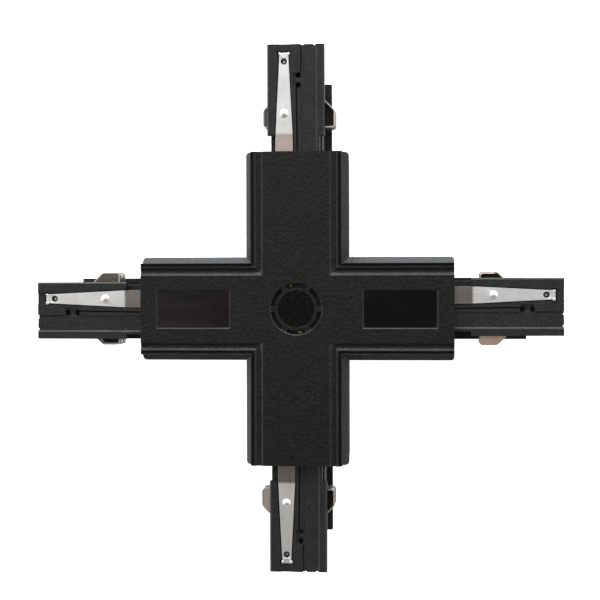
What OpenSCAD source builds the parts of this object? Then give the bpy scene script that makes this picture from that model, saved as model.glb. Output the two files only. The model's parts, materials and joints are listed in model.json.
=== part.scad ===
/* [Body] */
// Length of the cross-shaped body, end to end
body_len = 110; // [106:1:120]
// Width of each arm, the same as the track's
arm_w = 36.4; // [36.2:0.1:37]
// Height from the room side to the ceiling-side face
body_h = 32.5; // [32.4:0.1:33]
// Thickness of the roof of the ceiling housing
roof = 2.4; // [2:0.1:2.6]
// Thickness of the room-side cover
cover_t = 2.4; // [1.8:0.1:2.4]
// Height of the widest line, where the sloping shoulders meet the sides
shoulder_z = 26.2; // [25:0.1:27]
// Corner radius at the arm ends
corner_r = 1.2; // [1:0.2:3]

/* [Cable knock-out and labels] */
// Outer radius of the slot round the knock-out disc
knockout_r = 8.9; // [7:0.1:9]
// Width of that slot
knockout_slot = 1.5; // [1:0.1:2]
// Webs that hold the disc
knockout_webs = 6; // [3:1:8]
// Length of each label recess
label_len = 25.5; // [15:0.5:30]
// Width of each label recess
label_w = 13.2; // [8:0.2:16]
// Distance from the centre of the body to the centre of a label
label_at = 36.3; // [34:0.1:37]

/* [Track inserts] */
// Distance from the centre of the body to the tip of an insert
insert_tip = 92.8; // [91:0.1:95]
// Width over the two side rails of an insert
insert_w = 20.2; // [19.6:0.1:20.4]
// Height of the top of the rails
insert_top = 28.8; // [28.8:0.1:29.2]
// Distance from the centre at which the rails start
rail_start = 60.8; // [57:0.1:62]
// How much of its sideways play each insert has taken up, anticlockwise
insert_play = 1; // [0:0.25:1]
// Width of the foot that stands below an insert
foot_w = 22.2; // [20:0.1:22.4]
// Distance from the centre of the body to the end of a foot
foot_tip = 81.1; // [78:0.1:86]

/* [Contacts] */
// Height of a live contact strip
strip_w = 3.4; // [2.6:0.1:3.4]
// Thickness of a live contact strip
strip_t = 0.45; // [0.3:0.05:0.5]
// Furthest reach of a live contact from the middle of its insert
contact_reach = 12.9; // [12:0.1:13.4]
// Thickness of the earth leaves
leaf_t = 0.5; // [0.4:0.1:0.6]
// Width of an earth leaf at its root
leaf_root_w = 6.4; // [5:0.1:6.4]
// Width of an earth leaf at its tip
leaf_tip_w = 3.1; // [3:0.1:4]
// Height of the contact dimple on a leaf
dimple_h = 0.7; // [0.6:0.1:1.2]

/* [Conductors] */
// Thickness of the stamped busbars
bus_t = 0.8; // [0.6:0.1:0.8]
// Width of the stamped busbars
bus_w = 2.6; // [2:0.1:2.6]
// Pitch of the five terminals
pole_pitch = 5.2; // [5:0.1:5.3]

/* [Hidden] */
$fn = 48;
eps = 0.01;
ARMS = ["right", "top", "left", "bottom"];
SIDES = ["a", "b"];
LEVELS = ["upper", "lower"];

half_len = body_len / 2;
half_w = arm_w / 2;
wall = 3;
inner_w = half_w - wall;
// the sides lean in by this much from the shoulders down to the cover
lean = 1.2;
base_w = half_w - lean;
end_wall = 2.4;
roof_z = body_h - roof;

// webs and raised rim of the knock-out disc
web_w = 1.9;
rim_w = 0.95;

// grooves beside the flat top: top and floor on the inner side, floor and top on the outer side, depth
GROOVES = [[11.7, 12.8, 13.5, 14.4, 0.8], [14.75, 15.2, 15.3, 15.8, 0.6]];
top_edge = 16;
ledge_z = 28.2;
upper_inner_w = 13.8;

// label recesses
recess = 0.5;
recess_rim = 0.35;

// doorway for an insert
door_w = 11.6;

// closing screws, one in each arm
post_u = 30;
post_v = 11.8;
post_r = 3;
screw_r = 1.5;
screw_head_r = 2.8;
screw_head_h = 1.3;

// base frame under the conductors
frame_z = cover_t + 0.2;
frame_t = 2;
frame_end = 44.6;
frame_top = frame_z + frame_t;

// snap prongs on the cover
prong_at = 23;
prong_w = 6;
prong_t = 1.1;
prong_top = 8;

// conductor stack, as the underside of each layer
bus_v = 4.3;
stack_w = 7.6;
stack_end = 41.6;
LINE_Z = [24.4, 22.8, 17.8, 16.2];
LINE_SIDE = [1, -1, 1, -1];
earth_z = 26.2;
earth_v = 4.15;
earth_w = 3;
earth_end = 44.3;
earth_pad = 9.2;
earth_pad_w = 2.4;
guard_t = 0.8;
guard_reach = 11;
// windows in the guard: x, y, length and width
GUARD_WINDOWS = [[-2.3, 8, 0.9, 0.8], [0.9, -8.3, 1.4, 0.5]];
bus_end = 80;
PLATE_Z = [[25.2, 26.2], [23.6, 24.4], [18.6, 22.8], [17, 17.8], [14.2, 16.2]];
PLATE_NAMES = ["insulator_top", "insulator_2", "insulator_3", "insulator_4", "insulator_bottom"];
LINE_NAMES = ["busbar_line_1", "busbar_neutral", "busbar_line_2", "busbar_line_3"];
tab_w = 1.8;

// terminals
poles = 5;
clamp_z = 6.2;
clamp_top = 12.6;
clamp_w = 3.9;
clamp_len = 16.8;
block_top = 14.2;
wire_r = 1.5;
wire_z = 10.2;
terminal_screw_r = 1.25;
terminal_screw_v = 4.6;

// inserts
insert_in = 42;
insert_split = 13.5;
PLAY = [0.6, 0.3, 0.6, 0.3];
half_insert = insert_w / 2;
side_w = 9;
rail_z = 26;
strip_z = insert_top - 0.4;
rail_chamfer = 0.4;
nose_z = [19.5, 21.9];
nose_reach = 12.3;
flange = [50.2, 52.4];
flange_w = 14.5;
flange_top_w = 13.1;
channel_floor = 26.2;
leaf_v = 4.15;
leaf_z = insert_top - 0.8;
leaf_root = 46;
leaf_bend = 61.5;
leaf_tip = insert_tip - 3;
leaf_root_r = 0.6;
leaf_hole_r = 1.1;
leaf_hole_u = insert_tip - 6.1;
leaf_pin_r = 0.5;
dimple_u = insert_tip - 24.3;
dimple_r = 1.5;
block_end = insert_tip - 10;
foot_z = [5.8, 9];
// where each foot stands in its own sideways play
FOOT_SET = [-0.3, 0, -0.3, 0];

// live contacts
CONTACT_Z = [24, 17.4];
contact_root = [77.8, 7.4];
contact_root_r = 0.7;
running_fit = 0.05;
bend_r = 0.9;
contact_end = 64;
contact_leg = 9.3;
// how much further out each arm's contacts stand, for sides a and b
SET = [[0, 0], [-0.7, 0.4], [0, 0], [0, 0]];
CAPPED_SIDE = [1, 0, 0, 0];
pocket_in = 6.4;
pocket_gap = 0.3;

function mirrored(arm) = arm >= 2;
function play(arm) = (mirrored(arm) ? -1 : 1) * insert_play * PLAY[arm];

// Point t of the cubic curve with control points a, b, c and d
function bezier(a, b, c, d, t) =
    pow(1 - t, 3) * a + 3 * pow(1 - t, 2) * t * b + 3 * (1 - t) * pow(t, 2) * c + pow(t, 3) * d;

// Middle line of a bowed contact: a straight ramp from its root, a flat crest, a round bend and a leg back in
function contact_line(reach) =
    let (crest = reach - strip_t / 2)
    concat(
        [for (i = [0:5]) bezier(contact_root, [75.8, 7.4], [74.8, 7.6], [74, crest - 4.1], i / 5)],
        [for (t = [0.4:0.4:2.8]) [74 - t, crest - 4.1 + t]],
        [for (i = [0:4]) bezier([70.6, crest - 0.7], [70.2, crest - 0.3], [69.8, crest], [69.2, crest], i / 4)],
        [for (a = [90:18:180]) [contact_end + bend_r, crest - bend_r] + bend_r * [cos(a), sin(a)]],
        [[contact_end, contact_leg]]
    );

// Unit normal of a polyline at point i
function normal(line, i) =
    let (d = line[min(i + 1, len(line) - 1)] - line[max(i - 1, 0)])
    [-d[1], d[0]] / norm(d);

// Outline of a strip of thickness t along a polyline
function strip_outline(line, t) =
    concat(
        [for (i = [0:len(line) - 1]) line[i] + normal(line, i) * t / 2],
        [for (i = [len(line) - 1:-1:0]) line[i] - normal(line, i) * t / 2]
    );

// Turns an arm drawn along +X, with its earth leaf on +Y, to its own place
module at_arm(arm) {
    rotate(90 * arm) mirror([0, mirrored(arm) ? 1 : 0, 0]) children();
}

// A box given by its lowest and highest corners
module box(low, high) {
    translate(low) cube(high - low);
}

module cross_2d(w, reach) {
    square([2 * reach, 2 * w], center = true);
    square([2 * w, 2 * reach], center = true);
}

module rounded_rect_2d(length, width, r) {
    square([length - 2 * r, width], center = true);
    square([length, width - 2 * r], center = true);
    for (x = [-1, 1], y = [-1, 1])
        translate([x * (length / 2 - r), y * (width / 2 - r)]) circle(r = r);
}

module rounded_cross_2d(w, reach, r) {
    rounded_rect_2d(2 * reach, 2 * w, r);
    rounded_rect_2d(2 * w, 2 * reach, r);
}

// A cross-shaped layer between two heights
module cross_layer(z_low, z_high, w, reach) {
    translate([0, 0, z_low]) linear_extrude(z_high - z_low) cross_2d(w, reach);
}

// A section swept along both axes
module swept_arms(section) {
    for (turn = [0, 90])
        rotate(turn) rotate([90, 0, 90]) linear_extrude(body_len + 2, center = true) polygon(section);
}

function trapezoid(low_w, high_w, z_low, z_high) =
    [[-low_w, z_low], [low_w, z_low], [high_w, z_high], [-high_w, z_high]];

// A groove with sloping sides along every edge of the cross
module edge_groove(g) {
    low = body_h - g[4];
    high = body_h + g[4];
    difference() {
        swept_arms(trapezoid(g[2], 2 * g[3] - g[2], low, high));
        swept_arms(trapezoid(2 * g[1] - g[0], 3 * g[0] - 2 * g[1], low - g[4], high + g[4]));
    }
}

// Stepped section of an arm, swept along both axes
module stepped_arms() {
    half = [
        [base_w, cover_t], [half_w, shoulder_z], [half_w - 0.2, shoulder_z + 0.4],
        [top_edge + 0.1, ledge_z], [top_edge, body_h]
    ];
    section = concat(half, [for (i = [len(half) - 1:-1:0]) [-half[i][0], half[i][1]]]);
    intersection() {
        swept_arms(section);
        linear_extrude(body_h) rounded_cross_2d(half_w, half_len, corner_r);
    }
}

// Slot round the knock-out disc, broken by its webs
module knockout_slot_2d() {
    difference() {
        circle(r = knockout_r);
        circle(r = knockout_r - knockout_slot);
        for (i = [0:knockout_webs - 1])
            rotate(i * 360 / knockout_webs) translate([0, -web_w / 2]) square([knockout_r, web_w]);
    }
}

// Recess of a label, with a sloping rim
module label_recess() {
    low = body_h - recess_rim;
    high = body_h + recess_rim;
    translate([0, 0, body_h - recess]) linear_extrude(1) rounded_rect_2d(label_len, label_w, 0.8);
    intersection() {
        rotate([90, 0, 90]) linear_extrude(label_len + 4, center = true)
            polygon(trapezoid(label_w / 2, label_w / 2 + 2 * recess_rim, low, high));
        rotate([90, 0, 0]) linear_extrude(label_w + 4, center = true)
            polygon(trapezoid(label_len / 2, label_len / 2 + 2 * recess_rim, low, high));
    }
}

module ceiling_housing() {
    color([0.11, 0.11, 0.11]) difference() {
        union() {
            difference() {
                stepped_arms();
                cross_layer(0, shoulder_z - 0.5, inner_w, half_len - end_wall);
                cross_layer(0, roof_z, upper_inner_w, half_len - end_wall);
            }
            for (arm = [0:3]) rotate(90 * arm) {
                translate([post_u, post_v, frame_top]) cylinder(r = post_r, h = body_h - frame_top - 1);
                box([post_u - 1, post_v, frame_top], [post_u + 1, half_w - 2, shoulder_z]);
            }
        }
        for (g = GROOVES) edge_groove(g);
        for (arm = [0:3]) rotate(90 * arm) {
            translate([post_u, post_v, 0]) cylinder(r = screw_r, h = 17);
            box([half_len - end_wall - 1, -door_w, 0], [half_len + 1, door_w, insert_top + 0.7]);
            // catches for the cover's prongs
            for (v = [-1, 1])
                box([prong_at - prong_w / 2 - 0.3, min(v * (inner_w - 0.1), v * (inner_w + 0.7)), 5.6],
                    [prong_at + prong_w / 2 + 0.3, max(v * (inner_w - 0.1), v * (inner_w + 0.7)), 7.4]);
        }
        for (x = [-1, 1]) translate([x * label_at, 0, 0]) label_recess();
        translate([0, 0, roof_z - 1]) linear_extrude(roof + 2) knockout_slot_2d();
        translate([0, 0, body_h - 0.4]) cylinder(r = knockout_r - knockout_slot - rim_w, h = 1);
        translate([0, 0, body_h - 0.35]) cylinder(r1 = knockout_r, r2 = knockout_r + 0.4, h = 0.4);
    }
}

// One sprung prong of the cover, at the +Y wall of the +X arm
module cover_prong() {
    box([prong_at - prong_w / 2, inner_w - prong_t - 0.1, cover_t - eps],
        [prong_at + prong_w / 2, inner_w - 0.1, prong_top]);
    box([prong_at - prong_w / 2, inner_w - 0.2, 5.9], [prong_at + prong_w / 2, inner_w + 0.4, 7.1]);
}

module room_cover() {
    color([0.1, 0.1, 0.1]) union() {
        linear_extrude(cover_t) rounded_cross_2d(base_w, half_len, corner_r);
        for (arm = [0:3], side = [0, 1]) rotate(90 * arm) mirror([0, side, 0]) cover_prong();
    }
}

module base_frame() {
    color([0.2, 0.2, 0.2]) difference() {
        cross_layer(frame_z, frame_top, inner_w - 0.1, frame_end);
        box([-12.6, -8.2, 0], [12.6, 8.2, block_top]);
        for (arm = [0:3]) rotate(90 * arm) {
            translate([post_u, post_v, frame_z - 1]) cylinder(r = screw_head_r + 0.2, h = 1 + 0.1 + screw_head_h);
            translate([post_u, post_v, frame_z]) cylinder(r = screw_r + 0.1, h = frame_t + 1);
            for (side = [0, 1]) mirror([0, side, 0])
                box([prong_at - prong_w / 2 - 0.3, inner_w - prong_t - 0.6, 0],
                    [prong_at + prong_w / 2 + 0.3, inner_w + 1, block_top]);
        }
    }
}

// Round head with a cross recess on a plain shank, pointing up
module pan_screw(r, length, head_r, head_h) {
    difference() {
        union() {
            cylinder(r = head_r, h = head_h);
            cylinder(r = r, h = head_h + length);
        }
        for (turn = [0, 90]) rotate(turn) box([-head_r * 0.6, -0.3, -1], [head_r * 0.6, 0.3, head_h * 0.6]);
    }
}

module housing_screws() {
    color([0.75, 0.75, 0.72]) for (arm = [0:3]) rotate(90 * arm)
        translate([post_u, post_v, frame_z + 0.1]) pan_screw(screw_r - running_fit, 11, screw_head_r, screw_head_h);
}

module label_plates() {
    color([0.05, 0.05, 0.05]) for (x = [-1, 1])
        translate([x * label_at, 0, body_h - recess]) linear_extrude(0.1)
            rounded_rect_2d(label_len - 0.4, label_w - 0.4, 0.6);
}

// Tapered plan of an earth leaf, grown by g all round
module leaf_2d(g) {
    polygon([
        [leaf_root, -leaf_root_w / 2 - g], [leaf_bend, -leaf_root_w / 2 + 0.2 - g],
        [leaf_tip + g, -leaf_tip_w / 2 - g], [leaf_tip + g, leaf_tip_w / 2 + g],
        [leaf_bend, leaf_root_w / 2 - 0.2 + g], [leaf_root, leaf_root_w / 2 + g]
    ]);
}

// Pocket and round socket for one live contact on the +Y side
module contact_pocket(z_mid) {
    z_low = z_mid - strip_w / 2 - pocket_gap;
    z_high = z_mid + strip_w / 2 + pocket_gap;
    box([contact_end - 1.2, pocket_in, z_low], [contact_root[0] - 0.9, contact_reach + 2, z_high]);
    box([contact_root[0] - 1.2, contact_root[1] - 0.7, z_low], [contact_root[0], contact_root[1] + 0.6, z_high]);
    translate([contact_root[0], contact_root[1], z_low])
        cylinder(r = contact_root_r + running_fit, h = z_high - z_low);
}

// Solid form of an insert's upper part, before its pockets
module carrier_form() {
    difference() {
        union() {
            box([insert_in, -side_w, insert_split], [insert_tip, side_w, insert_top]);
            translate([rail_start, 0, 0]) rotate([90, 0, 90]) linear_extrude(insert_tip - rail_start)
                polygon([
                    [-half_insert, rail_z], [half_insert, rail_z],
                    [half_insert, insert_top - rail_chamfer], [half_insert - 1.25 * rail_chamfer, insert_top],
                    [-half_insert + 1.25 * rail_chamfer, insert_top], [-half_insert, insert_top - rail_chamfer]
                ]);
            box([flange[0], -flange_w, insert_split], [flange[1], flange_w, shoulder_z - 1.4]);
            box([flange[0], -flange_top_w, insert_split], [flange[1], flange_top_w, insert_top]);
        }
        // the top steps down beside the leaf and outside the middle strip, up to where the rails start
        box([flange[1], leaf_v + 3.3, 24], [rail_start, half_insert + 1, body_h]);
        box([flange[1], -half_insert - 1, 24], [rail_start, -8.4, body_h]);
        // channel that the leaf lies in
        translate([0, leaf_v, channel_floor]) linear_extrude(body_h) {
            leaf_2d(0.35);
            translate([leaf_tip - 1.2, -2.4]) square([1.7, 4.8]);
        }
        box([0, leaf_v - 3.55, channel_floor], [leaf_root + eps, leaf_v + 3.55, body_h]);
        box([leaf_tip, leaf_v - 2, insert_top - 0.4], [insert_tip + 1, leaf_v + 2, body_h]);
        // lowered middle strip, with a slope up to the far rail and a groove beside the front block
        rotate([90, 0, 90]) linear_extrude(insert_tip + 1)
            polygon([[-7.05, strip_z], [-1.7, strip_z], [-1.7, strip_z + 1], [-8.3, strip_z + 1]]);
        box([block_end, -2, insert_top - 1.6], [insert_tip + 1, -1.6, body_h]);
        translate([0, 0, insert_top - 2.4]) linear_extrude(body_h)
            polygon([[0, -1.1], [0, -1.7], [block_end - 3.6, -0.5], [block_end - 3.6, 0.1]]);
        // shallow step behind the front block, with two holes
        box([block_end - 5, -1.7, insert_top - 0.9], [block_end, 0.9, body_h]);
        for (u = [0.9, 4.4]) translate([block_end - u, -0.9, insert_top - 4.5]) cylinder(r = 0.95, h = 5);
        // small notches in the tip
        for (v = [-2.5, -6.6]) translate([insert_tip, v, 0]) rotate(45)
            translate([-0.35, -0.35, -1]) cube([0.7, 0.7, body_h]);
        // bore for the leaf's pin
        translate([leaf_hole_u, leaf_v, channel_floor - 3]) cylinder(r = leaf_pin_r, h = 4);
    }
    // saddle under the rolled root of the leaf
    difference() {
        union() {
            box([leaf_root - 1.2, leaf_v - 3.4, channel_floor - eps], [leaf_root, leaf_v + 3.4, leaf_z + 0.1]);
            box([leaf_root - eps, leaf_v - 3.4, channel_floor - eps], [leaf_root + 1.2, leaf_v + 3.4, leaf_z - 0.4]);
        }
        translate([leaf_root, leaf_v, leaf_z + leaf_t / 2]) rotate([90, 0, 0])
            cylinder(r = leaf_root_r + running_fit, h = 10, center = true);
    }
}

// Nose between the two live contacts on the +Y side
module contact_nose(reach) {
    translate([0, 0, nose_z[0]]) linear_extrude(nose_z[1] - nose_z[0])
        polygon([[64.2, 8], [64.2, reach - 0.8], [65, reach], [70, reach], [73.4, reach - 3.4], [73.4, 8]]);
}

module insert_carrier(arm) {
    color([0.16, 0.16, 0.16]) at_arm(arm) difference() {
        union() {
            translate([0, play(arm), 0]) carrier_form();
            for (side = [0, 1]) mirror([0, side, 0]) contact_nose(nose_reach + SET[arm][side]);
        }
        for (v = [0, 1]) mirror([0, v, 0]) {
            for (z = CONTACT_Z) contact_pocket(z);
            // slot for the two busbars of this side
            box([0, bus_v - bus_w / 2 - 0.2, 16], [bus_end + 0.6, bus_v + bus_w / 2 + 0.2, LINE_Z[0] + bus_t + 0.1]);
            for (z = LINE_Z)
                box([contact_root[0] - 0.9, bus_v, z - 0.1], [contact_root[0] + 0.9, contact_root[1], z + bus_t + 0.1]);
        }
    }
}

module insert_foot(arm) {
    color([0.13, 0.13, 0.13]) at_arm(arm) translate([0, FOOT_SET[arm], 0]) difference() {
        union() {
            box([45, -foot_w / 2, foot_z[0]], [foot_tip, foot_w / 2, foot_z[1]]);
            box([45, -6.8, frame_z], [88, 6.8, insert_split]);
            box([flange[0], -flange_w, frame_z + 2.7], [flange[1], flange_w, insert_split]);
        }
        // lead-in at the front of the stem, and lightening grooves in its sides
        translate([88, 0, frame_z]) rotate([0, 45, 0]) cube([3, 20, 3], center = true);
        for (v = [-1, 1]) box([56, v * 6.8 - 1.2, 10], [86, v * 6.8 + 1.2, 12.4]);
    }
}

module earth_leaf(arm) {
    color([0.8, 0.79, 0.77]) at_arm(arm) translate([0, leaf_v + play(arm), leaf_z]) difference() {
        union() {
            linear_extrude(leaf_t) leaf_2d(0);
            translate([0, 0, leaf_t / 2]) translate([leaf_root, 0, 0]) rotate([90, 0, 0])
                cylinder(r = leaf_root_r, h = leaf_root_w - 0.4, center = true);
            box([leaf_tip - 0.9, -2.05, 0], [leaf_tip, 1.75, leaf_t + 0.5]);
            intersection() {
                dome_r = (pow(dimple_r, 2) + pow(dimple_h, 2)) / (2 * dimple_h);
                translate([dimple_u, 0, leaf_t + dimple_h - dome_r]) sphere(r = dome_r);
                box([dimple_u - 3, -3, leaf_t / 2], [dimple_u + 3, 3, 4]);
            }
        }
        translate([leaf_hole_u, 0, -1]) cylinder(r = leaf_hole_r, h = 4);
        box([leaf_tip - 1, -1.2, leaf_t], [leaf_tip + 1, 1.2, 4]);
    }
}

module leaf_pin(arm) {
    color([0.85, 0.85, 0.85]) at_arm(arm) translate([leaf_hole_u, leaf_v + play(arm), channel_floor - 3])
        cylinder(r = leaf_pin_r, h = leaf_z - channel_floor + 2.5);
}

// One upper contact of each arm has a flat web across its bow
module contact(arm, side, level) {
    capped = level == 0 && side == CAPPED_SIDE[arm];
    line = contact_line(contact_reach + SET[arm][side]);
    bow = [for (p = line) if (p[1] >= contact_leg && p[0] < contact_root[0] - 2) p];
    color([0.72, 0.66, 0.6]) at_arm(arm) mirror([0, side, 0])
        translate([0, 0, CONTACT_Z[level] - strip_w / 2]) union() {
            linear_extrude(strip_w) polygon(strip_outline(line, strip_t));
            translate([contact_root[0], contact_root[1], 0]) cylinder(r = contact_root_r, h = strip_w);
            if (capped) translate([0, 0, strip_w - strip_t - 0.4]) linear_extrude(strip_t) polygon(bow);
        }
}

// Two crossing flat bars with their middles on the given line, s = 1 above and left, s = -1 below and right
module bar_cross(s, v, w, reach, z, t) {
    translate([0, s * v, z + t / 2]) cube([2 * reach, w, t], center = true);
    translate([-s * v, 0, z + t / 2]) cube([w, 2 * reach, t], center = true);
}

// Line 1 and the neutral step outwards past the bar below them before they turn down to their terminals
module line_tab(i) {
    s = LINE_SIDE[i];
    outer = i < 2;
    x = -s * (outer ? 2 : 1) * pole_pitch;
    v = outer ? bus_v + bus_w / 2 + 1.2 : bus_v;
    translate([x, s * v, (clamp_top + LINE_Z[i] + bus_t) / 2])
        cube([tab_w, bus_t, LINE_Z[i] + bus_t - clamp_top], center = true);
    if (outer) translate([x, s * (bus_v + v) / 2, LINE_Z[i] + bus_t / 2])
        cube([tab_w, v - bus_v + bus_t, bus_t], center = true);
}

module busbar(i) {
    s = LINE_SIDE[i];
    // a short tongue beside the root of each contact that this bar feeds
    reach = contact_root[1] - contact_root_r - 0.35;
    color([0.78, 0.5, 0.3]) union() {
        bar_cross(s, bus_v, bus_w, bus_end, LINE_Z[i], bus_t);
        for (e = [-1, 1]) {
            translate([e * contact_root[0], s * (bus_v + reach) / 2, LINE_Z[i] + bus_t / 2])
                cube([1.4, reach - bus_v, bus_t], center = true);
            translate([-s * (bus_v + reach) / 2, e * contact_root[0], LINE_Z[i] + bus_t / 2])
                cube([reach - bus_v, 1.4, bus_t], center = true);
        }
        line_tab(i);
    }
}

module busbar_earth() {
    color([0.8, 0.65, 0.3]) union() {
        bar_cross(1, earth_v, earth_w, earth_end, earth_z, bus_t);
        box([-earth_v, -earth_pad, earth_z], [earth_pad_w, earth_pad, earth_z + bus_t]);
        translate([0, 0, (clamp_top + earth_z + bus_t) / 2])
            cube([tab_w, bus_t, earth_z + bus_t - clamp_top], center = true);
    }
}

module insulator(i) {
    z = PLATE_Z[i];
    color([0.12, 0.12, 0.12]) difference() {
        cross_layer(z[0], z[1], stack_w, stack_end);
        // the way down for the earth link and for the wires
        box([-2.6, -2.6, 0], [2.6, 2.6, body_h]);
        // the ways down for the line links
        for (k = [0:3]) if (LINE_Z[k] > z[0]) {
            s = LINE_SIDE[k];
            outer = k < 2;
            x = -s * (outer ? 2 : 1) * pole_pitch;
            v = outer ? bus_v + bus_w / 2 + 1.2 : bus_v;
            translate([x, s * (v + (outer ? 1 : 0)), 0])
                cube([tab_w + 0.4, outer ? 3.2 : bus_t + 0.4, 2 * body_h], center = true);
        }
    }
}

// Guard over the conductors under the knock-out, with two small windows to the earth bar
module knockout_guard() {
    color([0.08, 0.08, 0.08]) difference() {
        cross_layer(earth_z + bus_t, earth_z + bus_t + guard_t, stack_w, guard_reach);
        for (w = GUARD_WINDOWS) translate([w[0], w[1], earth_z]) cube([w[2], w[3], 10], center = true);
    }
}

// Draws its children at the x of each terminal
module at_poles() {
    for (i = [0:poles - 1]) translate([(i - (poles - 1) / 2) * pole_pitch, 0, 0]) children();
}

module terminal_block() {
    color([0.14, 0.14, 0.14]) difference() {
        box([-13.5, -9.4, frame_top], [13.5, 9.4, block_top]);
        at_poles() {
            box([-clamp_w / 2 - 0.1, -clamp_len / 2 - 0.1, clamp_z],
                [clamp_w / 2 + 0.1, clamp_len / 2 + 0.1, block_top + 1]);
            translate([0, 0, wire_z]) rotate([90, 0, 0]) cylinder(r = wire_r + 0.2, h = 30, center = true);
            for (v = [-1, 1]) translate([0, v * terminal_screw_v, 0]) cylinder(r = 1.8, h = clamp_z + 1);
        }
    }
}

module terminal_clamps() {
    color([0.8, 0.65, 0.3]) at_poles() difference() {
        box([-clamp_w / 2, -clamp_len / 2, clamp_z], [clamp_w / 2, clamp_len / 2, clamp_top]);
        translate([0, 0, wire_z]) rotate([90, 0, 0]) cylinder(r = wire_r, h = 30, center = true);
        for (v = [-1, 1]) translate([0, v * terminal_screw_v, 0]) cylinder(r = terminal_screw_r, h = wire_z);
    }
}

module terminal_screws() {
    color([0.75, 0.75, 0.72]) at_poles() for (v = [-1, 1])
        translate([0, v * terminal_screw_v, clamp_z - 1.3]) pan_screw(terminal_screw_r - running_fit, 2.4, 1.6, 1.2);
}

ceiling_housing();
room_cover();
base_frame();
housing_screws();
label_plates();
for (arm = [0:3]) {
    insert_carrier(arm);
    insert_foot(arm);
    earth_leaf(arm);
    leaf_pin(arm);
    for (side = [0, 1], level = [0, 1])
        contact(arm, side, level);
}
for (i = [0:3]) busbar(i);
busbar_earth();
knockout_guard();
for (i = [0:4]) insulator(i);
terminal_block();
terminal_clamps();
terminal_screws();
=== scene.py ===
"""Looks of the cross connector for three-circuit lighting track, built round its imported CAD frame."""

import json
import math

import bpy
from mathutils import Euler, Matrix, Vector

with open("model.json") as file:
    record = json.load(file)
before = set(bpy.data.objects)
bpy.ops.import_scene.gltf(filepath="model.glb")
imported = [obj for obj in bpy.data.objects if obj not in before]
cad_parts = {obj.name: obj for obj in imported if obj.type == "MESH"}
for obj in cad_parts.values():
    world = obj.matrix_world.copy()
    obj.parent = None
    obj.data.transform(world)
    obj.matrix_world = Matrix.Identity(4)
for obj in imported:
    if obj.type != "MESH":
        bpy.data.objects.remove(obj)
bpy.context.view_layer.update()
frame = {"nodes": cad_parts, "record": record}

MM = 0.001
NODES = frame["nodes"]

# places at which the finish of a part changes
DISC_RADIUS = 6.5 * MM
TOP_FACES = 30.5 * MM
LEAF_BEND = 61.4 * MM
WEBS_LOW, WEBS_HIGH = 24.8 * MM, 25.4 * MM
ARM_INNER, ARM_OUTER = 40.0 * MM, 50.0 * MM


# ---------------------------------------------------------------- node helpers


class NodeTree:
    """A small wrapper that adds nodes to a tree, with one default place vector."""

    def __init__(self, tree, place):
        self.tree = tree
        self.place = self.add("ShaderNodeTexCoord").outputs[place]

    def add(self, kind, **settings):
        node = self.tree.nodes.new(kind)
        for key, value in settings.items():
            setattr(node, key, value)
        return node

    def link(self, source, target):
        self.tree.links.new(source, target)

    def feed(self, socket, value):
        """Links an output socket, or sets a plain value."""
        if isinstance(value, bpy.types.NodeSocket):
            self.link(value, socket)
        else:
            socket.default_value = value

    def noise(self, scale, detail=3.0, rough=0.55, at=None):
        node = self.add("ShaderNodeTexNoise")
        node.inputs["Scale"].default_value = scale
        node.inputs["Detail"].default_value = detail
        node.inputs["Roughness"].default_value = rough
        self.link(at or self.place, node.inputs["Vector"])
        return node.outputs["Fac"]

    def cells(self, scale):
        node = self.add("ShaderNodeTexVoronoi", feature="F1")
        node.inputs["Scale"].default_value = scale
        self.link(self.place, node.inputs["Vector"])
        return node.outputs["Distance"]

    def stretched(self, factors, turn=0.0):
        node = self.add("ShaderNodeMapping")
        node.inputs["Scale"].default_value = factors
        node.inputs["Rotation"].default_value = (0.0, 0.0, turn)
        self.link(self.place, node.inputs["Vector"])
        return node.outputs["Vector"]

    def math(self, kind, a, b=0.0):
        node = self.add("ShaderNodeMath", operation=kind)
        for socket, value in zip(node.inputs, (a, b)):
            self.feed(socket, value)
        return node.outputs["Value"]

    def remap(self, value, low, high, to_low, to_high):
        node = self.add("ShaderNodeMapRange")
        limits = {"From Min": low, "From Max": high, "To Min": to_low, "To Max": to_high}
        for key, number in limits.items():
            node.inputs[key].default_value = number
        self.link(value, node.inputs["Value"])
        return node.outputs["Result"]

    def mix(self, amount, a, b):
        node = self.add("ShaderNodeMix", data_type="RGBA")
        self.feed(node.inputs["Factor"], amount)
        self.feed(node.inputs["A"], a)
        self.feed(node.inputs["B"], b)
        return node.outputs["Result"]

    def split(self):
        node = self.add("ShaderNodeSeparateXYZ")
        self.link(self.place, node.inputs["Vector"])
        return node.outputs["X"], node.outputs["Y"], node.outputs["Z"]


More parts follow.
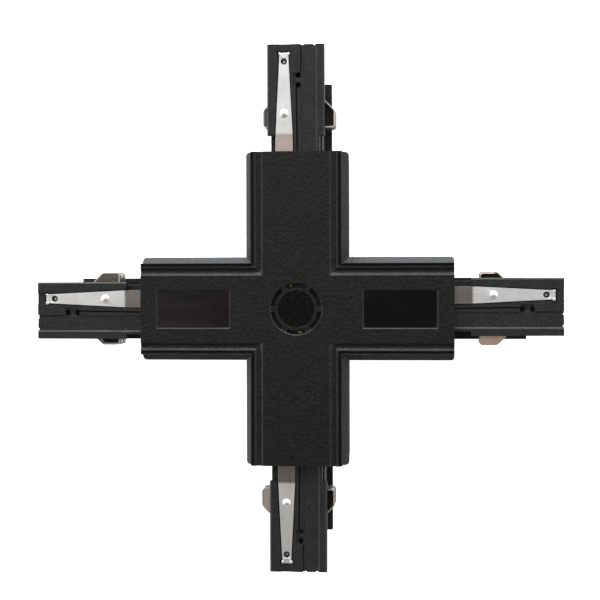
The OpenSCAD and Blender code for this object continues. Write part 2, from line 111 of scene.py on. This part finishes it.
class Shader(NodeTree):
    """One material with a single Principled shader."""

    def __init__(self, name):
        self.material = bpy.data.materials.new(name)
        self.material.use_nodes = True
        self.material.node_tree.nodes.clear()
        super().__init__(self.material.node_tree, "Object")
        output = self.add("ShaderNodeOutputMaterial")
        self.bsdf = self.add("ShaderNodeBsdfPrincipled")
        self.link(self.bsdf.outputs["BSDF"], output.inputs["Surface"])

    def bumps(self, *layers):
        """Stacks height layers (height, distance in metres, strength) into the shader's normal."""
        normal = None
        for height, distance, strength in layers:
            node = self.add("ShaderNodeBump")
            node.inputs["Distance"].default_value = distance
            node.inputs["Strength"].default_value = strength
            self.link(height, node.inputs["Height"])
            if normal is not None:
                self.link(normal, node.inputs["Normal"])
            normal = node.outputs["Normal"]
        self.link(normal, self.bsdf.inputs["Normal"])

    def edge_wear(self, radius):
        """1 on worn outer edges, 0 on faces: how far the rounded normal leans away from the true one."""
        bevel = self.add("ShaderNodeBevel", samples=6)
        bevel.inputs["Radius"].default_value = radius
        geometry = self.add("ShaderNodeNewGeometry")
        dot = self.add("ShaderNodeVectorMath", operation="DOT_PRODUCT")
        self.link(bevel.outputs["Normal"], dot.inputs[0])
        self.link(geometry.outputs["Normal"], dot.inputs[1])
        return self.remap(dot.outputs["Value"], 0.999, 0.9, 0.0, 1.0)

    def set(self, **values):
        for key, value in values.items():
            self.feed(self.bsdf.inputs[key.replace("_", " ")], value)


def rgba(r, g, b):
    return (r, g, b, 1.0)


# ------------------------------------------------------------------- materials


def eroded_plastic(name, dark, light, grain, rough, bump, disc=0.0):
    """Black moulded plastic with a spark-eroded grain, mottling, fine scratches and paler worn edges.

    On top faces within the radius disc (in metres) of the middle it is smooth, as the knock-out disc is.
    """
    s = Shader(name)
    x, y, z = s.split()
    smooth = 0.0
    if disc:
        from_middle = s.math("SQRT", s.math("ADD", s.math("MULTIPLY", x, x), s.math("MULTIPLY", y, y)))
        on_top = s.math("GREATER_THAN", z, TOP_FACES)
        smooth = s.math("MULTIPLY", s.math("LESS_THAN", from_middle, disc), on_top)
    grained = s.math("SUBTRACT", 1.0, smooth)
    fine = s.noise(grain, 2.0, 0.6)
    pits = s.cells(grain * 0.8)
    swells = s.noise(grain * 0.35, 3.0, 0.65)
    clouds = s.noise(grain * 0.09, 4.0, 0.65)
    scratches = s.noise(60.0, 5.0, 0.7, s.stretched((0.25, 14.0, 1.0), 0.9))
    scratched = s.remap(scratches, 0.70, 0.76, 0.0, 0.5)
    mottled = s.mix(s.remap(clouds, 0.35, 0.65, 0.0, 1.0), rgba(*dark), rgba(*light))
    speckled = s.mix(s.remap(fine, 0.48, 0.66, 0.0, 0.8), mottled, rgba(*[4.0 * c for c in light]))
    worn = s.mix(s.math("MULTIPLY", s.edge_wear(0.25 * MM), 0.4), speckled, rgba(0.04, 0.04, 0.039))
    marked = s.mix(scratched, worn, rgba(0.025, 0.025, 0.024))
    matt = s.remap(s.noise(grain * 0.4, 3.0), 0.3, 0.7, rough - 0.07, rough + 0.08)
    s.set(
        Base_Color=s.mix(smooth, marked, rgba(0.0012, 0.001, 0.0009)),
        Roughness=s.math("SUBTRACT", matt, s.math("MULTIPLY", smooth, rough - 0.16)),
    )
    s.bsdf.inputs["IOR"].default_value = 1.33
    s.bumps(
        (s.math("MULTIPLY", swells, grained), 0.3 * MM, bump),
        (s.math("MULTIPLY", fine, grained), 0.06 * MM, bump),
        (s.math("MULTIPLY", pits, grained), 0.05 * MM, bump * 0.7),
    )
    return s.material


def label_gloss():
    """Smooth blank labels with faint smears."""
    s = Shader("label_gloss")
    smear = s.noise(55.0, 4.0, 0.6, s.stretched((1.0, 3.5, 1.0), 0.3))
    x, _, _ = s.split()
    left = s.remap(x, -0.001, 0.001, 1.0, 0.0)
    streaks = s.remap(smear, 0.35, 0.7, 0.0, 1.0)
    mottled = s.mix(streaks, rgba(0.0015, 0.001, 0.0008), rgba(0.008, 0.005, 0.004))
    s.set(
        Base_Color=s.mix(left, rgba(0.0012, 0.0012, 0.0012), mottled),
        Roughness=s.remap(smear, 0.3, 0.7, 0.08, 0.16),
    )
    s.bsdf.inputs["IOR"].default_value = 1.38
    s.bumps((s.noise(900.0, 2.0), 0.01 * MM, 0.3))
    return s.material


def along_arm(s):
    """Distance from the middle of the object along whichever arm a point is on, in metres."""
    x, y, _ = s.split()
    return s.math("MAXIMUM", s.math("ABSOLUTE", x), s.math("ABSOLUTE", y))


def leaf_tin():
    """Tin-plated spring strip: fine lengthwise lines, soft stains, and a rosier inner half that is
    painted darker on all but the +Y arm, as painted shade.
    """
    s = Shader("leaf_tin")
    x, y, _ = s.split()
    on_x_arm = s.math("GREATER_THAN", s.math("ABSOLUTE", x), s.math("ABSOLUTE", y))
    lines_x = s.noise(420.0, 3.0, 0.6, s.stretched((0.03, 8.0, 1.0)))
    lines_y = s.noise(420.0, 3.0, 0.6, s.stretched((8.0, 0.03, 1.0)))
    lines = s.math("ADD", s.math("MULTIPLY", lines_x, on_x_arm),
                   s.math("MULTIPLY", lines_y, s.math("SUBTRACT", 1.0, on_x_arm)))
    stains = s.noise(160.0, 4.0, 0.6)
    bare = s.remap(along_arm(s), LEAF_BEND + 0.4 * MM, LEAF_BEND - 0.4 * MM, 0.0, 1.0)
    plate = s.mix(s.remap(stains, 0.3, 0.75, 0.0, 1.0), rgba(0.80, 0.785, 0.76), rgba(0.66, 0.64, 0.61))
    rosy = s.mix(s.remap(stains, 0.3, 0.7, 0.0, 1.0), rgba(0.52, 0.43, 0.38), rgba(0.42, 0.345, 0.305))
    # painted shade: off the +Y arm the rosy inner part turns dark brown, standing for shade and a
    # painted reflection of the dark housing wall near the body
    rosy_painted_shade = s.mix(s.remap(stains, 0.3, 0.7, 0.0, 1.0), rgba(0.24, 0.21, 0.19), rgba(0.17, 0.155, 0.14))
    rosy = s.mix(s.remap(y, 30.0 * MM, 45.0 * MM, 1.0, 0.0), rosy, rosy_painted_shade)
    s.set(
        Base_Color=s.mix(bare, plate, rosy),
        Metallic=1.0,
        Roughness=s.remap(lines, 0.3, 0.7, 0.26, 0.42),
    )
    s.bumps((lines, 0.012 * MM, 0.5), (stains, 0.02 * MM, 0.25))
    return s.material


def contact_copper():
    """Tin-plated copper strip, rubbed through to the copper in places, with painted shade on the webs of
    the +Y and -X arms.
    """
    s = Shader("contact_copper")
    rubs = s.noise(210.0, 4.0, 0.65)
    lines = s.noise(500.0, 3.0, 0.6, s.stretched((1.0, 1.0, 9.0)))
    x, y, z = s.split()
    tin = s.mix(s.remap(lines, 0.3, 0.7, 0.0, 1.0), rgba(0.55, 0.52, 0.48), rgba(0.44, 0.42, 0.385))
    copper = s.mix(s.remap(rubs, 0.3, 0.7, 0.0, 1.0), rgba(0.60, 0.42, 0.33), rgba(0.48, 0.34, 0.27))
    # painted shade colour for the webs on the +Y and -X arms
    web_painted_shade = s.mix(s.remap(rubs, 0.3, 0.7, 0.0, 1.0), rgba(0.085, 0.075, 0.065), rgba(0.16, 0.14, 0.12))
    # the flat webs lie just below the strips' upper edges; the ones at +Y and -X are painted near black
    # as painted shade, standing for the shadowed hollows of those contacts
    web = s.math("MULTIPLY", s.math("LESS_THAN", z, WEBS_HIGH), s.math("GREATER_THAN", z, WEBS_LOW))
    top_arm = s.remap(y, ARM_INNER, ARM_OUTER, 0.0, 1.0)
    left_arm = s.remap(x, -ARM_OUTER, -ARM_INNER, 1.0, 0.0)
    bare_arm = s.remap(x, ARM_INNER, ARM_OUTER, 0.0, 1.0)
    plated = s.mix(s.remap(rubs, 0.5, 0.66, 0.0, 0.8), tin, copper)
    tinted = s.mix(bare_arm, plated, s.mix(s.remap(rubs, 0.3, 0.5, 0.0, 1.0), tin, copper))
    s.set(
        Base_Color=s.mix(s.math("MULTIPLY", web, s.math("MAXIMUM", top_arm, left_arm)), tinted, web_painted_shade),
        Metallic=1.0,
        Roughness=s.remap(rubs, 0.3, 0.7, 0.28, 0.45),
    )
    s.bumps((lines, 0.01 * MM, 0.5))
    return s.material


def plain_metal(name, pale, deep, rough):
    """Stamped or turned metal with fine tool lines and slight tarnish."""
    s = Shader(name)
    tarnish = s.noise(105.0, 4.0, 0.6)
    lines = s.noise(350.0, 3.0, 0.6, s.stretched((1.0, 6.0, 1.0), 0.4))
    s.set(
        Base_Color=s.mix(s.remap(tarnish, 0.3, 0.7, 0.0, 1.0), rgba(*pale), rgba(*deep)),
        Metallic=1.0,
        Roughness=s.remap(lines, 0.3, 0.7, rough - 0.06, rough + 0.08),
    )
    s.bumps((lines, 0.012 * MM, 0.5))
    return s.material


def inner_plastic(name, pale, deep, rough):
    """Plain moulded plastic of the parts inside."""
    s = Shader(name)
    flow = s.noise(70.0, 4.0, 0.6)
    fine = s.noise(1600.0, 2.0, 0.6)
    s.set(
        Base_Color=s.mix(s.remap(flow, 0.3, 0.7, 0.0, 1.0), rgba(*pale), rgba(*deep)),
        Roughness=s.remap(fine, 0.3, 0.7, rough - 0.05, rough + 0.06),
    )
    s.bumps((fine, 0.03 * MM, 0.4))
    return s.material


LOOKS = {
    "housing_plastic": eroded_plastic(
        "housing_plastic",
        dark=(0.0002, 0.00016, 0.0001),
        light=(0.0026, 0.0022, 0.0017),
        grain=2100.0,
        rough=0.34,
        bump=0.7,
        disc=DISC_RADIUS,
    ),
    "insert_plastic": eroded_plastic(
        "insert_plastic",
        dark=(0.003, 0.0028, 0.0025),
        light=(0.0085, 0.0081, 0.0073),
        grain=2600.0,
        rough=0.38,
        bump=0.45,
    ),
    "inner_plastic": inner_plastic("inner_plastic", (0.01, 0.01, 0.01), (0.006, 0.006, 0.006), 0.5),
    "insulator_plastic": inner_plastic(
        "insulator_plastic", (0.012, 0.012, 0.012), (0.008, 0.008, 0.008), 0.45
    ),
    "label_gloss": label_gloss(),
    "leaf_tin": leaf_tin(),
    "contact_copper": contact_copper(),
    # the pin steel is darker than clean steel: partly its own tone, partly painted shade for the pin
    # sunk in its hole
    "pin_steel": plain_metal("pin_steel", (0.42, 0.42, 0.41), (0.30, 0.30, 0.29), 0.25),
    "screw_steel": plain_metal("screw_steel", (0.64, 0.64, 0.60), (0.52, 0.52, 0.48), 0.35),
    "busbar_copper": plain_metal("busbar_copper", (0.70, 0.40, 0.27), (0.55, 0.30, 0.20), 0.32),
    # the brass is darker than clean brass: partly tarnish, partly painted shade for the parts seen deep
    # under the ring slot
    "clamp_brass": plain_metal("clamp_brass", (0.50, 0.40, 0.20), (0.38, 0.29, 0.14), 0.32),
}

SLOTS = {part["node"]: part["material_slot"] for part in frame["record"]["subparts"]}


def soften(obj, radius):
    """Rounds a CAD node's edges a little, as moulding and stamping leave them."""
    weld = obj.modifiers.new("weld", "WELD")
    weld.merge_threshold = 1e-6
    bevel = obj.modifiers.new("soft_edges", "BEVEL")
    bevel.width = radius
    bevel.segments = 2
    bevel.limit_method = "ANGLE"
    bevel.angle_limit = math.radians(32)
    normals = obj.modifiers.new("normals", "WEIGHTED_NORMAL")
    normals.keep_sharp = False
    normals.weight = 80


EDGE_RADII = {
    "housing_plastic": 0.22 * MM,
    "insert_plastic": 0.15 * MM,
    "leaf_tin": 0.06 * MM,
}

for name, obj in NODES.items():
    slot = SLOTS[name]
    obj.data.materials.clear()
    obj.data.materials.append(LOOKS[slot])
    if slot in EDGE_RADII:
        soften(obj, EDGE_RADII[slot])


# ------------------------------------------------------- camera, floor, lights


def make_camera():
    """A long lens almost straight above, leaning a little towards +X."""
    data = bpy.data.cameras.new("camera")
    data.sensor_width = 36.0
    data.lens = 87.7
    camera = bpy.data.objects.new("camera", data)
    camera.location = Vector((46.0, 11.0, 540.0)) * MM
    camera.rotation_euler = Euler([math.radians(a) for a in (-0.898, 5.02, -0.137)])
    bpy.context.scene.collection.objects.link(camera)
    bpy.context.scene.camera = camera


def make_floor():
    """A large pale sheet that the connector lies on."""
    mesh = bpy.data.meshes.new("floor")
    reach, level = 3.0, -0.2 * MM
    corners = [(x * reach, y * reach, level) for x, y in ((-1, -1), (1, -1), (1, 1), (-1, 1))]
    mesh.from_pydata(corners, [], [(0, 1, 2, 3)])
    floor = bpy.data.objects.new("floor", mesh)
    bpy.context.scene.collection.objects.link(floor)
    s = Shader("floor_paper")
    s.set(
        Base_Color=s.mix(s.noise(40.0, 3.0), rgba(0.93, 0.93, 0.93), rgba(0.95, 0.95, 0.95)),
        Roughness=s.remap(s.noise(300.0, 3.0), 0.3, 0.7, 0.75, 0.85),
    )
    s.bsdf.inputs["Emission Color"].default_value = (1.0, 1.0, 1.0, 1.0)
    s.bsdf.inputs["Emission Strength"].default_value = 1.0
    mesh.materials.append(s.material)
    floor.visible_glossy = False


def make_light(name, place, size, watts):
    """A soft rectangular light that faces the middle of the scene."""
    data = bpy.data.lights.new(name, "AREA")
    data.shape = "RECTANGLE"
    data.size, data.size_y = size
    data.energy = watts
    light = bpy.data.objects.new(name, data)
    light.location = place
    light.rotation_euler = (-Vector(place)).to_track_quat("-Z", "Y").to_euler()
    bpy.context.scene.collection.objects.link(light)


def make_world():
    """A studio that is bright and cool towards +Y, fades towards -Y, and is darker straight above."""
    world = bpy.data.worlds.new("studio")
    world.use_nodes = True
    s = NodeTree(world.node_tree, "Generated")
    background = world.node_tree.nodes["Background"]
    x, y, _ = s.split()
    level = s.math("ADD", s.math("ADD", s.math("MULTIPLY", y, 1.8), s.math("MULTIPLY", x, -0.15)), 0.78)
    level = s.math("MINIMUM", s.math("MAXIMUM", level, 0.2), 1.9)
    # brighter panels low down on each side, the brightest at +Y
    for axis, sign, strength in ((y, 1.0, 6.2), (x, -1.0, 2.6), (x, 1.0, 1.8), (y, -1.0, 0.8)):
        low = s.math("POWER", s.math("MAXIMUM", s.math("MULTIPLY", axis, sign), 0.0), 5.0)
        level = s.math("ADD", level, s.math("MULTIPLY", low, strength))
    overhead = s.add("ShaderNodeVectorMath", operation="DOT_PRODUCT")
    s.link(s.place, overhead.inputs[0])
    overhead.inputs[1].default_value = Vector((-0.04, -0.02, 1.0)).normalized()
    rim, core = math.cos(math.radians(9.0)), math.cos(math.radians(5.0))
    shade = s.remap(overhead.outputs["Value"], rim, core, 1.0, 0.25)
    cool = s.mix(s.remap(y, 0.0, 0.7, 0.0, 1.0), rgba(1.0, 0.985, 0.97), rgba(0.93, 0.98, 1.06))
    s.link(cool, background.inputs["Color"])
    s.link(s.math("MULTIPLY", level, shade), background.inputs["Strength"])
    bpy.context.scene.world = world


make_camera()
make_floor()
make_world()
make_light("back_softbox", (-0.1, 0.9, 0.55), (1.2, 0.6), 3.0)
bpy.context.scene.view_settings.view_transform = "Standard"
